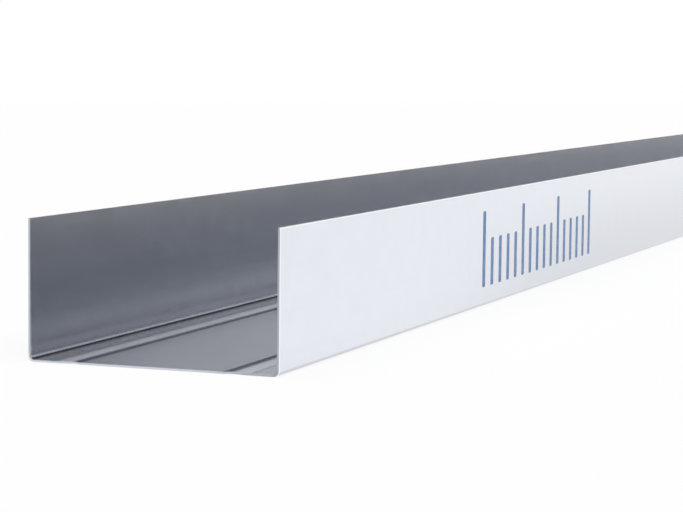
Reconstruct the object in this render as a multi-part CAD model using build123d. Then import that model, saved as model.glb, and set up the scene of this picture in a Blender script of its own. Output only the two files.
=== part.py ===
from build123d import *
import os

# Galvanised steel track for a stud wall, as one straight length of roll-formed stock.
# It lies on its web with the channel open upwards, and runs along Y.
# X goes from flange to flange, and Z goes up from the underside of the web.
# The origin is on that underside, midway along the length and midway between the flanges.

# Driving dimensions, in millimetres
stock_length = 3000.0
track_width = 75.0           # over the outsides of the two flanges
flange_height = 40.0         # from the underside of the web to the edge of a flange
sheet_thickness = 0.6
bend_inner_radius = 1.0      # between the web and a flange, on the channel side

# The two stiffening beads of the web: shallow ribs that are rolled up into the channel, one beside each flange.
# A bead rises steeply on the side of the web's middle and falls gently on the side of the flange.
bead_from_flange = 14.2      # from the outside of a flange to the middle of the bead's crest
bead_height = 0.15
bead_crest_width = 0.8
bead_steep_width = 1.3
bead_gentle_width = 6.0
bead_crease_radius = 2.5     # at the bead's four creases, on the underside of the sheet

# Derived places and sizes
bend_outer_radius = bend_inner_radius + sheet_thickness
flange_outside = track_width / 2
bead_crest = flange_outside - bead_from_flange
crest_inner_side = bead_crest - bead_crest_width / 2
crest_outer_side = bead_crest + bead_crest_width / 2
bead_inner_side = crest_inner_side - bead_steep_width
bead_outer_side = crest_outer_side + bead_gentle_width


def sheet_underside():
    """The outer surface of the folded sheet, as a line across X and Z from one flange's edge to the other's."""
    half_line = [
        (bead_inner_side, 0),
        (crest_inner_side, bead_height),
        (crest_outer_side, bead_height),
        (bead_outer_side, 0),
        (flange_outside, 0),
        (flange_outside, flange_height),
    ]
    half_radii = [bead_crease_radius] * 4 + [bend_outer_radius]
    mirrored_line = [(-across, up) for across, up in reversed(half_line)]
    return FilletPolyline(*mirrored_line, *half_line, radius=half_radii[::-1] + half_radii)


def track_section():
    """The section through the sheet: the underside and its copy one thickness inside, closed at the edges."""
    outline = sheet_underside().offset_2d(sheet_thickness, side=Side.LEFT, closed=True)
    return Plane.XZ * make_face(outline)


def track_channel():
    """The whole length, half of it to each side of the origin."""
    return extrude(track_section(), amount=stock_length / 2, both=True)


os.makedirs("parts", exist_ok=True)
export_step(track_channel(), "parts/track_channel.step")
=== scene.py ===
import bpy
import math
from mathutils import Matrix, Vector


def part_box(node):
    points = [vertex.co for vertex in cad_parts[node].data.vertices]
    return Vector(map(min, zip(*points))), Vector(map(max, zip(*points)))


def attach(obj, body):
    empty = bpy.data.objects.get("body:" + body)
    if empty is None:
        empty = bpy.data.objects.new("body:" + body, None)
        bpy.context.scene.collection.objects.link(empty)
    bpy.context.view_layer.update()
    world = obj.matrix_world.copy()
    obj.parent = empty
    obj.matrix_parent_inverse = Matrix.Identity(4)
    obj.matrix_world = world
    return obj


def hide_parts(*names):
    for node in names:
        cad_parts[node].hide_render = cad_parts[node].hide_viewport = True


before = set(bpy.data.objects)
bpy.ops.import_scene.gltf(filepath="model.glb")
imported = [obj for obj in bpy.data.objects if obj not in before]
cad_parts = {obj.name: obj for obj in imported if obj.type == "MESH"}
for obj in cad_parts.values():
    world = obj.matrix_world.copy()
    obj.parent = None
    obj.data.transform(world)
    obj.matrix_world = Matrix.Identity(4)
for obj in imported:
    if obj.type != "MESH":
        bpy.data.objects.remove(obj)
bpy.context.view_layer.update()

# A length of galvanised U track, open side up, seen from low beside its near end.
bpy.ops.object.select_all(action="DESELECT")


# Helpers for modelling by hand

def nameActive(name):
    # for the piece that an operator has just added or copied
    piece = bpy.context.object
    piece.name = name
    piece.data.name = name
    return piece


def clearSelection(kind):
    # ends in object mode, where the selection can be set in code
    bpy.ops.object.mode_set(mode="EDIT")
    bpy.ops.mesh.select_mode(type=kind)
    bpy.ops.mesh.select_all(action="DESELECT")
    bpy.ops.object.mode_set(mode="OBJECT")


def pickVerts(piece, test):
    # selects the vertices whose place passes the test, and the edges and faces between them
    clearSelection("VERT")
    for vert in piece.data.vertices:
        vert.select = test(vert.co)
    bpy.ops.object.mode_set(mode="EDIT")


def pickEdges(piece, test):
    # selects the edges whose two ends pass the test together
    clearSelection("EDGE")
    verts = piece.data.vertices
    for edge in piece.data.edges:
        first, second = (verts[index].co for index in edge.vertices)
        edge.select = test(first, second)
    bpy.ops.object.mode_set(mode="EDIT")


def applyModifier(piece, kind, settings):
    modifier = piece.modifiers.new(kind.lower(), kind)
    for name, value in settings.items():
        setattr(modifier, name, value)
    bpy.ops.object.modifier_apply(modifier=modifier.name)


def near(first, second, slack=0.00001):
    return abs(first - second) < slack


# The track

trackLow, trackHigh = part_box("track_channel")
halfWidth = trackHigh[0]
halfLength = trackHigh[1]
webZ = trackLow[2]
flangeTop = trackHigh[2]

track = {
    "sheet": 0.0006,
    "bendRadius": 0.0016,        # outside of the fold
    "bendSegments": 8,
    "beadHeight": 0.00015,
    "beadCrest": 0.0142,         # from a flange's outside to the middle of the bead's crest
    "beadCrestWidth": 0.0008,
    "beadSteepWidth": 0.0013,
    "beadGentleWidth": 0.0060,
    "creaseSoftness": 0.0002,
    "creaseSegments": 3,
    "sharpFrom": 60,             # degrees; the sheared and slit edges are sharper, and get broken
    "edgeRound": 0.00007,
    "edgeSegments": 2,
    "smoothTo": 50,              # degrees; faces that meet at less than this shade as one
    "flatWeight": 100,           # wide flat faces keep their own normals
    "mergeDistance": 0.000001,
}


def beadCreases():
    # places of one bead's four creases, from the web's middle outwards
    crest = halfWidth - track["beadCrest"]
    crestInner = crest - track["beadCrestWidth"] / 2
    crestOuter = crest + track["beadCrestWidth"] / 2
    return [
        crestInner - track["beadSteepWidth"],
        crestInner,
        crestOuter,
        crestOuter + track["beadGentleWidth"],
    ]


def onFold(first, second):
    lengthwise = near(first.x, second.x) and near(abs(first.x), halfWidth)
    return lengthwise and near(first.z, webZ) and near(second.z, webZ)


def onCrease(first, second):
    return near(first.x, second.x) and any(near(abs(first.x), crease) for crease in beadCreases())


def shapeOuterSurface(piece):
    # the web, wide enough for the sheet's outer surface
    bpy.ops.object.mode_set(mode="EDIT")
    bpy.ops.mesh.select_all(action="SELECT")
    bpy.ops.transform.resize(value=(2 * halfWidth, 2 * halfLength, 1))
    bpy.ops.transform.translate(value=(0, 0, webZ))
    creases = beadCreases()
    for across in creases:
        for side in (-1, 1):
            bpy.ops.mesh.select_all(action="SELECT")
            bpy.ops.mesh.bisect(plane_co=(side * across, 0, 0), plane_no=(1, 0, 0))

    # the crests of the beads, pressed up into the channel
    crests = creases[1:3]
    pickVerts(piece, lambda place: any(near(abs(place.x), crest) for crest in crests))
    bpy.ops.transform.translate(value=(0, 0, track["beadHeight"]))

    # the flanges, folded up
    pickEdges(piece, onFold)
    bpy.ops.mesh.extrude_edges_move(TRANSFORM_OT_translate={"value": (0, 0, flangeTop - webZ)})
    pickEdges(piece, onFold)
    bpy.ops.mesh.bevel(offset=track["bendRadius"], segments=track["bendSegments"], affect="EDGES")

    # the creases of the beads, softened
    pickEdges(piece, onCrease)
    bpy.ops.mesh.bevel(offset=track["creaseSoftness"], segments=track["creaseSegments"], affect="EDGES")


def turnOutwards(piece):
    # the outer surface has to look down and outwards, so that the sheet gets its thickness inside
    bpy.ops.mesh.select_all(action="SELECT")
    bpy.ops.mesh.remove_doubles(threshold=track["mergeDistance"])
    bpy.ops.mesh.normals_make_consistent(inside=False)
    bpy.ops.object.mode_set(mode="OBJECT")
    if sum(face.normal.z * face.area for face in piece.data.polygons) > 0:
        bpy.ops.object.mode_set(mode="EDIT")
        bpy.ops.mesh.select_all(action="SELECT")
        bpy.ops.mesh.flip_normals()
        bpy.ops.object.mode_set(mode="OBJECT")


def breakSharpEdges():
    clearSelection("EDGE")
    bpy.ops.object.mode_set(mode="EDIT")
    bpy.ops.mesh.edges_select_sharp(sharpness=math.radians(track["sharpFrom"]))
    bpy.ops.mesh.bevel(offset=track["edgeRound"], segments=track["edgeSegments"], affect="EDGES")
    bpy.ops.object.mode_set(mode="OBJECT")


def makeTrack():
    bpy.ops.mesh.primitive_plane_add(size=1, location=(0, 0, 0))
    piece = nameActive("track")
    shapeOuterSurface(piece)
    turnOutwards(piece)
    applyModifier(piece, "SOLIDIFY", {"thickness": track["sheet"], "offset": -1, "use_even_offset": True})
    breakSharpEdges()
    bpy.ops.object.shade_smooth_by_angle(angle=math.radians(track["smoothTo"]))
    applyModifier(piece, "WEIGHTED_NORMAL", {"weight": track["flatWeight"], "keep_sharp": True})
    piece.select_set(False)
    return piece


trackPiece = makeTrack()
print("track modelled, faces:", len(trackPiece.data.polygons))


# A plain length scale in ink on the right flange's outer face, once in each stud spacing

scale = {
    "firstStart": 0.190,         # from the near end to the first scale's first line
    "pitch": 0.600,
    "lines": 16,
    "lineSpacing": 0.010,
    "lineWidth": 0.0034,
    "bottom": 0.0068,
    "shortTop": 0.0235,
    "tallTop": 0.0332,
    "tallEvery": 5,
    "cornerRound": 0.0007,
    "cornerSegments": 3,
    "film": 0.00002,
}


def makeScale():
    # one short line, stood against the flange and repeated along it
    height = scale["shortTop"] - scale["bottom"]
    middle = webZ + scale["bottom"] + height / 2
    start = -halfLength + scale["firstStart"]
    bpy.ops.mesh.primitive_plane_add(size=1, location=(0, 0, 0))
    piece = nameActive("length_scale_0")
    bpy.ops.object.mode_set(mode="EDIT")
    bpy.ops.mesh.select_all(action="SELECT")
    bpy.ops.transform.rotate(value=math.radians(90), orient_axis="Y", center_override=(0, 0, 0))
    bpy.ops.transform.resize(value=(1, scale["lineWidth"], height))
    bpy.ops.transform.translate(value=(halfWidth, start, middle))
    for repeat in range(scale["lines"] - 1):
        bpy.ops.mesh.duplicate_move(TRANSFORM_OT_translate={"value": (0, scale["lineSpacing"], 0)})

    # every fifth line is drawn up to its full height
    group = scale["tallEvery"] * scale["lineSpacing"]

    def isTallTop(place):
        fromTallLine = (place.y - start + group / 2) % group - group / 2
        return place.z > middle and abs(fromTallLine) < scale["lineWidth"]

    pickVerts(piece, isTallTop)
    bpy.ops.transform.translate(value=(0, 0, scale["tallTop"] - scale["shortTop"]))

    # round corners, and the thickness of the ink
    bpy.ops.mesh.select_all(action="SELECT")
    bpy.ops.mesh.bevel(offset=scale["cornerRound"], segments=scale["cornerSegments"], affect="VERTICES")
    bpy.ops.mesh.select_all(action="SELECT")
    bpy.ops.mesh.extrude_region_move(TRANSFORM_OT_translate={"value": (scale["film"], 0, 0)})
    bpy.ops.mesh.select_all(action="SELECT")
    bpy.ops.mesh.normals_make_consistent(inside=False)
    bpy.ops.object.mode_set(mode="OBJECT")
    return piece


def copyAlong(piece, name, distance):
    piece.select_set(True)
    bpy.context.view_layer.objects.active = piece
    bpy.ops.object.duplicate(linked=False)
    double = nameActive(name)
    bpy.ops.object.mode_set(mode="EDIT")
    bpy.ops.mesh.select_all(action="SELECT")
    bpy.ops.transform.translate(value=(0, distance, 0))
    bpy.ops.object.mode_set(mode="OBJECT")
    double.select_set(False)
    return double


scalePieces = [makeScale()]
spacings = int((2 * halfLength - scale["firstStart"]) / scale["pitch"])
for number in range(1, spacings + 1):
    scalePieces.append(copyAlong(scalePieces[0], f"length_scale_{number}", number * scale["pitch"]))
print("scales printed:", len(scalePieces))


# Shader maths: a signal is a node's output, and sums and products of signals add the nodes

class Signal:
    def __init__(self, shader, socket):
        self.shader = shader
        self.socket = socket

    def math(self, operation, *values):
        return self.shader.node("ShaderNodeMath", {"operation": operation}, dict(enumerate(values)))

    def __add__(self, other):
        return self.math("ADD", self, other)

    def __radd__(self, other):
        return self.math("ADD", other, self)

    def __sub__(self, other):
        return self.math("SUBTRACT", self, other)

    def __rsub__(self, other):
        return self.math("SUBTRACT", other, self)

    def __mul__(self, other):
        return self.math("MULTIPLY", self, other)

    def __rmul__(self, other):
        return self.math("MULTIPLY", other, self)

    def __neg__(self):
        return self.math("MULTIPLY", self, -1.0)

    def __abs__(self):
        return self.math("ABSOLUTE", self)

    def root(self):
        return self.math("SQRT", self)

    def larger(self, other):
        return self.math("MAXIMUM", self, other)


class Shader:
    def __init__(self, owner):
        # the owner is a material or a world
        owner.use_nodes = True
        self.tree = owner.node_tree
        self.tree.nodes.clear()

    def node(self, kind, settings=None, sockets=None, out=0):
        made = self.tree.nodes.new(kind)
        for key, value in (settings or {}).items():
            setattr(made, key, value)
        for key, value in (sockets or {}).items():
            if isinstance(value, Signal):
                self.tree.links.new(value.socket, made.inputs[key])
            else:
                made.inputs[key].default_value = value
        return Signal(self, made.outputs[out]) if made.outputs else made

    def axes(self):
        spot = self.node("ShaderNodeTexCoord", out="Object")
        parts = self.node("ShaderNodeSeparateXYZ", sockets={"Vector": spot})
        return [Signal(self, socket) for socket in parts.socket.node.outputs]

    def place(self, stretch=(1, 1, 1)):
        spot = self.node("ShaderNodeTexCoord", out="Object")
        return self.node("ShaderNodeMapping", sockets={"Vector": spot, "Scale": stretch})

    def noise(self, pattern):
        # a pattern has a scale and a detail, and may be stretched
        return self.node("ShaderNodeTexNoise", sockets={
            "Vector": self.place(pattern.get("stretch", (1, 1, 1))),
            "Scale": pattern["scale"],
            "Detail": pattern["detail"],
        })

    def between(self, value, low, high, outLow=0.0, outHigh=1.0):
        # smooth change from outLow to outHigh as the value goes from low to high
        return self.node("ShaderNodeMapRange", {"interpolation_type": "SMOOTHSTEP"}, {
            "Value": value,
            "From Min": low,
            "From Max": high,
            "To Min": outLow,
            "To Max": outHigh,
        })

    def rising(self, value, place, ends):
        # from 0 at the first end to 1 at the second, both counted from the place
        return self.between(value, place + ends[0], place + ends[1])

    def falling(self, value, place, ends):
        # from 1 at the first end to 0 at the second
        return self.between(value, place + ends[0], place + ends[1], 1.0, 0.0)

    def mixColours(self, amount, first, second):
        sockets = {"Factor": amount, 6: first, 7: second}
        return self.node("ShaderNodeMix", {"data_type": "RGBA"}, sockets, out=2)

    def rays(self):
        # 1 for a ray from the camera, off something glossy and through something clear
        kinds = ("Is Camera Ray", "Is Glossy Ray", "Is Transmission Ray")
        return [self.node("ShaderNodeLightPath", out=kind) for kind in kinds]

    def finish(self, surface, kind="ShaderNodeOutputMaterial"):
        self.node(kind, sockets={"Surface": surface})


def blend(first, second, amount):
    # from the first value to the second as the amount goes from 0 to 1
    return first + amount * (second - first)


# Galvanised steel

# Tones go from 0, dark, to 1, full. A pair holds the two ends of a smooth change, as places along
# an axis or as distances from the crease, fold or edge that the code names, counted outwards.
zinc = {
    "full": (0.875, 0.903, 0.970, 1),
    "dark": (0.025, 0.035, 0.060, 1),
    "paintedHighlight": (0.960, 0.965, 0.985, 1),          # colour of the painted highlights
    "roughness": 0.20,
    "bump": 0.03,
    "bumpDepth": 0.0001,

    # patterns, and how far each changes the tone and the roughness
    "grain": {"scale": 900.0, "detail": 4.0, "stretch": (1, 0.02, 1), "tone": 0.04, "roughness": 0.06},
    "cloud": {"scale": 14.0, "detail": 2.0, "stretch": (1, 0.35, 1), "tone": 0.04, "roughness": 0.04},
    "spangle": {"scale": 160.0, "tone": 0.02, "roughness": 0.02},

    # the flanges, with painted shade and painted highlights
    "sheetMiddle": (-0.0004, -0.0002),          # tells a flange's inner side from its outer side
    "outside": 0.895,
    "greyShade": 0.73,                               # painted shade, a stretch low down on the outer faces
    "greyPlace": -0.77,
    "greyAlong": (0.38, 0.64),                  # to each side of its place
    "greyHeight": (0.006, 0.040),
    # painted shade low down on the inner sides, lighter towards their top edges
    "insideShadeLow": 0.75,
    "insideLightHigh": 0.98,
    "insideEnds": (0.012, 0.028),
    # painted highlight towards the top of the inner sides
    "insideHighlightEnds": (0.021, 0.033),
    "besideFoldShade": 0.52,                         # painted shade where an inner side meets the fold
    "besideFoldShadeEnds": (0.0035, 0.0090),

    # the web, with painted shade and painted highlights that differ between its two sides
    "webEnds": (0.0011, 0.0016),                # heights at which it gives way to the folds
    # painted shade on the middle panel, darker on its right half
    "centre": 0.69,
    "centreRight": 0.60,
    "centreChange": (-0.012, 0.012),            # from the left half's tone to the right half's
    "centreRightRoughness": 0.05,
    "centreEnds": (-0.0012, 0.0),               # at the foot of the bead
    "crease": 0.12,                             # painted shade on the bead's steep side
    "creaseStart": (-0.0016, -0.0012),
    "creaseStop": (-0.0001, 0.0003),
    "rightCreaseStart": (-0.0021, -0.0012),
    "rightCreaseStop": (0.0, 0.0022),
    "highlightBand": 0.95,                               # painted highlight beside each bead, where the surface is also rougher
    "bandRight": 1.0,
    "bandRoughness": 0.22,
    "bandRightRoughness": 0.08,                 # added little by little towards the fold
    "bandRightRoughnessStop": -0.0008,
    "bandStart": (-0.0002, 0.0010),
    "bandLeftStop": (-0.0024, 0.0010),
    "bandRightStop": (-0.0010, 0.0002),
    "margin": 0.60,                             # painted shade between the band and the fold, lighter on the right
    "marginRight": 0.76,
    "foldSideHighlight": 0.16,                             # painted highlight added to the left margin, close beside the fold
    "foldSideHighlightStart": (-0.0064, -0.0048),
    "foldSideHighlightStop": (-0.0024, -0.0008),

    # a dark coat in the creases, painted shade
    "shadeCoatDark": (0.035, 0.041, 0.058, 1),
    "shadeCoatLight": (0.070, 0.079, 0.100, 1),
    "shadeCoatRoughness": 0.8,
    "shadeCoatSheen": 0.1,
    "shadeCoatLeft": 0.60,
    "shadeCoatRight": 0.72,

    # the folds: painted shade where they leave the web, and a painted highlight higher up, where the
    # stretched coating is also rougher
    "cornerShade": 0.25,
    "cornerStart": (-0.0022, -0.0017),
    "cornerHeight": (0.0008, 0.0013),
    "cornerOutside": 0.25,                      # share of the painted shade on the outer side
    "cornerOutsideEnds": (-0.00175, -0.00162),
    "foldHighlight": 0.94,
    "foldRoughness": 0.30,
    "foldStart": (0.0010, 0.00115),
    "foldStop": (0.00155, 0.0017),

    # painted highlights on the rims where the edges are broken, and painted shade on the sheared ends
    "edgeHighlight": (-0.00045, -0.00027),
    "endHighlight": (-0.00095, -0.000665),
    "cutWeb": 0.76,
    "cutFlange": 0.62,
    "cutFlangeHeight": (0.0012, 0.0030),
    "cutRight": 0.49,
    "cutRightEnds": (0.012, 0.0365),
    "cutRoughness": 0.15,
    "cutEnds": (-0.00006, -0.00002),
}


def flangeTone(shader, y, z, inside):
    # painted shade and highlights on the inner sides, and painted shade low down on the outer faces
    low = zinc["insideShadeLow"]
    insideShading = shader.between(z, *zinc["insideEnds"], low, zinc["insideLightHigh"])
    insideShading = insideShading * shader.between(z, *zinc["besideFoldShadeEnds"], zinc["besideFoldShade"] / low, 1.0)
    greyShade = shader.between(abs(y - zinc["greyPlace"]), *zinc["greyAlong"], 1.0, 0.0)
    greyShade = greyShade * shader.between(z, *zinc["greyHeight"], 1.0, 0.0)
    return blend(blend(zinc["outside"], zinc["greyShade"], greyShade), insideShading, inside)


def webShadingAndFinish(shader, x):
    # the web's painted shade and highlights, what it adds to the roughness, and the share of it that the
    # dark coat of painted shade covers
    across = abs(x)
    inner, crestInner, crestOuter, outer = beadCreases()
    toRight = shader.between(x, 0.0, halfWidth)
    centre = shader.falling(across, inner, zinc["centreEnds"])
    highlightBand = shader.rising(across, crestOuter, zinc["bandStart"])
    highlightBand = highlightBand * shader.falling(-x, outer, zinc["bandLeftStop"])
    highlightBand = highlightBand * shader.falling(x, outer, zinc["bandRightStop"])
    # painted shade along the bead's steep side, wider on the right
    rightCrease = shader.rising(x, crestInner, zinc["rightCreaseStart"])
    rightCrease = rightCrease * shader.falling(x, crestInner, zinc["rightCreaseStop"])
    crease = shader.rising(across, crestInner, zinc["creaseStart"])
    crease = crease * shader.falling(across, crestInner, zinc["creaseStop"])
    crease = crease.larger(rightCrease)
    foldSideHighlight = shader.rising(-x, halfWidth, zinc["foldSideHighlightStart"])
    foldSideHighlight = foldSideHighlight * shader.falling(-x, halfWidth, zinc["foldSideHighlightStop"])

    margin = blend(zinc["margin"], zinc["marginRight"], toRight) + foldSideHighlight * zinc["foldSideHighlight"]
    middle = blend(zinc["centre"], zinc["centreRight"], shader.between(x, *zinc["centreChange"]))
    tone = blend(margin, middle, centre)
    tone = blend(tone, blend(zinc["highlightBand"], zinc["bandRight"], toRight), highlightBand)
    tone = blend(tone, zinc["crease"], crease)

    climb = shader.between(x, crestOuter, outer + zinc["bandRightRoughnessStop"])
    rough = highlightBand * (zinc["bandRoughness"] + climb * zinc["bandRightRoughness"])
    rough = rough + toRight * centre * zinc["centreRightRoughness"]
    shadeCoat = crease * zinc["shadeCoatLeft"] + rightCrease * (zinc["shadeCoatRight"] - zinc["shadeCoatLeft"])
    return tone, rough, shadeCoat


def foldMasks(shader, across, z, inside):
    # painted shade where a fold leaves the web, and the place of a painted highlight higher up
    cornerShade = shader.rising(across, halfWidth, zinc["cornerStart"])
    cornerShade = cornerShade * shader.falling(z, webZ, zinc["cornerHeight"])
    start, stop = (halfWidth + end for end in zinc["cornerOutsideEnds"])
    cornerShade = cornerShade * shader.between(across - z, start, stop, 1.0, zinc["cornerOutside"])
    foldHighlight = inside * shader.rising(z, webZ, zinc["foldStart"]) * shader.falling(z, webZ, zinc["foldStop"])
    return cornerShade, foldHighlight


def cutTone(shader, x, z):
    # painted shade: the sheared faces are darker on the flanges than on the web, and darkest on the right
    left = shader.between(z, *zinc["cutFlangeHeight"], zinc["cutWeb"], zinc["cutFlange"])
    return blend(left, zinc["cutRight"], shader.between(x, *zinc["cutRightEnds"]))


def zincPatterns(shader):
    sockets = {"Vector": shader.place(), "Scale": zinc["spangle"]["scale"]}
    cells = shader.node("ShaderNodeTexVoronoi", {"feature": "F1"}, sockets, out="Color")
    return {
        "grain": shader.noise(zinc["grain"]),
        "cloud": shader.noise(zinc["cloud"]),
        "spangle": shader.node("ShaderNodeSeparateColor", sockets={"Color": cells}),
    }


def zincMaterial():
    material = bpy.data.materials.new("galvanisedSteel")
    shader = Shader(material)
    x, y, z = shader.axes()
    across = abs(x)
    along = abs(y)

    inside = shader.falling(across, halfWidth, zinc["sheetMiddle"])
    web = shader.falling(z, webZ, zinc["webEnds"])
    cornerShade, foldHighlight = foldMasks(shader, across, z, inside)
    rimHighlight = shader.rising(z, flangeTop, zinc["edgeHighlight"])
    rimHighlight = rimHighlight.larger(shader.rising(along, halfLength, zinc["endHighlight"]))
    cut = shader.rising(along, halfLength, zinc["cutEnds"])

    webTone, webRough, webShadeCoat = webShadingAndFinish(shader, x)
    tone = blend(flangeTone(shader, y, z, inside), webTone, web)
    tone = blend(tone, zinc["cornerShade"], cornerShade)
    tone = blend(tone, zinc["foldHighlight"], foldHighlight)
    tone = blend(tone, 1.0, rimHighlight)
    tone = blend(tone, cutTone(shader, x, z), cut)
    rough = zinc["roughness"] + web * webRough
    rough = rough + foldHighlight * zinc["foldRoughness"] + cut * zinc["cutRoughness"]
    patterns = zincPatterns(shader)
    for name, pattern in patterns.items():
        tone = tone + zinc[name]["tone"] * (pattern - 0.5)
        rough = rough + zinc[name]["roughness"] * (pattern - 0.5)

    # painted highlights on the rims and towards the top of the inner sides
    paintedHighlight = rimHighlight.larger(inside * shader.between(z, *zinc["insideHighlightEnds"]))
    colour = shader.mixColours(tone, zinc["dark"], zinc["full"])
    colour = shader.mixColours(paintedHighlight * (1 - cut), colour, zinc["paintedHighlight"])
    bump = shader.node("ShaderNodeBump", sockets={
        "Height": patterns["grain"],
        "Strength": zinc["bump"],
        "Distance": zinc["bumpDepth"],
    })
    metal = shader.node("ShaderNodeBsdfPrincipled", sockets={
        "Base Color": colour,
        "Metallic": 1.0,
        "Roughness": rough,
        "Normal": bump,
    })
    # the dark coat of painted shade in the creases
    film = shader.mixColours(patterns["cloud"], zinc["shadeCoatDark"], zinc["shadeCoatLight"])
    shadeCoat = shader.node("ShaderNodeBsdfPrincipled", sockets={
        "Base Color": film,
        "Roughness": zinc["shadeCoatRoughness"],
        "Specular IOR Level": zinc["shadeCoatSheen"],
    })
    shadeCoated = web * (1 - cut) * webShadeCoat
    shader.finish(shader.node("ShaderNodeMixShader", sockets={0: shadeCoated, 1: metal, 2: shadeCoat}))
    return material


# Ink

ink = {
    "full": (0.085, 0.185, 0.400, 1),
    "thin": (0.150, 0.270, 0.500, 1),
    "thinEnds": (0.42, 0.66),
    "roughness": 0.45,
    "roughnessChange": 0.12,
    "cloud": {"scale": 420.0, "detail": 3.0},
    "speck": {"scale": 2600.0, "detail": 2.0},
    "cloudShare": 0.65,
}


def inkMaterial():
    # jetted ink, a little thinner here and there
    material = bpy.data.materials.new("blueInk")
    shader = Shader(material)
    speck = shader.noise(ink["speck"])
    thin = shader.between(blend(speck, shader.noise(ink["cloud"]), ink["cloudShare"]), *ink["thinEnds"])
    surface = shader.node("ShaderNodeBsdfPrincipled", sockets={
        "Base Color": shader.mixColours(thin, ink["full"], ink["thin"]),
        "Roughness": ink["roughness"] + ink["roughnessChange"] * (speck - 0.5),
    })
    shader.finish(surface)
    return material


trackPiece.data.materials.append(zincMaterial())
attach(trackPiece, "root")
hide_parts("track_channel")
blueInk = inkMaterial()
for piece in scalePieces:
    piece.data.materials.append(blueInk)
    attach(piece, "root")
print("materials set")


# Floor, surroundings, light and camera

stage = {
    "floorRadius": 12.0,
    "floorSides": 96,
    "floorColour": (0.97, 0.97, 0.97, 1),
    "whiteShare": 0.81,             # how much of the floor near the track is white whatever the light
    "shadowReach": (1.2, 3.0),      # the floor turns plain white between these distances
    "reachAlong": 0.4,              # weight of distances along the track, whose shadow is long
    "wall": 0.03,                   # brightness of the wall, where that of the backdrop is 1
    "backdropEnds": (0.02, 0.25),   # heights, as sines, where the backdrop gives way to the wall
    "overhead": 1.12,
    "overheadEnds": (0.50, 0.70),
    "bank": 0.20,                   # a faint light bank low at the back, on the right
    "bankDirection": (0.47, 0.84, 0.27),
    "bankEnds": (0.95, 0.995),
}


def floorMaterial():
    # the camera and reflections see white paper, a part of it lit, so that it keeps the shadow
    material = bpy.data.materials.new("floorPaper")
    shader = Shader(material)
    camera, glossy, through = shader.rays()
    x, y, z = shader.axes()
    away = (x * x + y * y * stage["reachAlong"]).root()
    share = shader.between(away, *stage["shadowReach"], stage["whiteShare"], 1.0)
    seen = share * (camera + glossy + through)
    lit = shader.node("ShaderNodeBsdfDiffuse", sockets={"Color": stage["floorColour"]})
    white = shader.node("ShaderNodeEmission", sockets={"Color": (1, 1, 1, 1), "Strength": 1.0})
    shader.finish(shader.node("ShaderNodeMixShader", sockets={0: seen, 1: lit, 2: white}))
    return material


def makeFloor():
    bpy.ops.mesh.primitive_circle_add(
        vertices=stage["floorSides"], radius=stage["floorRadius"], fill_type="NGON")
    floor = nameActive("floor")
    floor.data.materials.append(floorMaterial())
    floor.select_set(False)


def makeWorld():
    # a white backdrop low down, a dim wall above it and a broad soft light overhead;
    # the camera sees plain white
    world = bpy.data.worlds.new("studio")
    bpy.context.scene.world = world
    shader = Shader(world)
    camera, glossy, through = shader.rays()
    direction = shader.node("ShaderNodeTexCoord", out="Generated")
    height = shader.node("ShaderNodeSeparateXYZ", sockets={"Vector": direction}, out="Z")
    sockets = {0: direction, 1: stage["bankDirection"]}
    toBank = shader.node("ShaderNodeVectorMath", {"operation": "DOT_PRODUCT"}, sockets, out="Value")
    backdrop = shader.between(height, *stage["backdropEnds"], 1.0, 0.0)
    bank = shader.between(toBank, *stage["bankEnds"], 0.0, stage["bank"])
    overhead = shader.between(height, *stage["overheadEnds"], 0.0, stage["overhead"])
    studio = blend(stage["wall"], 1.0, backdrop) + bank + overhead
    white = camera + (glossy + through) * backdrop
    glow = shader.node("ShaderNodeBackground", sockets={
        "Color": (1, 1, 1, 1),
        "Strength": white + (1 - white) * studio,
    })
    shader.finish(glow, "ShaderNodeOutputWorld")


key = {
    "turn": (50, 0, 32),         # degrees, from over the camera's right shoulder
    "softness": 40,              # degrees across
    "strength": 1.0,
}


def makeKeyLight():
    bpy.ops.object.light_add(type="SUN", rotation=[math.radians(angle) for angle in key["turn"]])
    light = bpy.context.object
    light.name = "key"
    light.data.angle = math.radians(key["softness"])
    light.data.energy = key["strength"]
    light.select_set(False)


view = {
    "width": 683,                # pixels, as the focal length
    "focalLength": 2193.0,
    "sensor": 36,
    "clipStart": 0.01,
    "yaw": 20.254,
    "pitch": -4.990,
    "roll": 0.620,
    "fromNearEnd": (0.2532, -0.5373, 0.0832),    # from the middle of the near end, at the web's underside
}


def makeCamera():
    right, along, up = view["fromNearEnd"]
    bpy.ops.object.camera_add(
        location=(right, along - halfLength, up + webZ),
        rotation=(math.radians(90 + view["pitch"]), 0, math.radians(view["yaw"])))
    camera = bpy.context.object
    camera.rotation_euler.rotate_axis("Z", math.radians(view["roll"]))
    camera.data.sensor_width = view["sensor"]
    camera.data.lens = view["focalLength"] * view["sensor"] / view["width"]
    camera.data.clip_start = view["clipStart"]
    bpy.context.scene.camera = camera
    bpy.context.scene.view_settings.view_transform = "Standard"


makeFloor()
makeWorld()
makeKeyLight()
makeCamera()
print("stage, light and camera set")
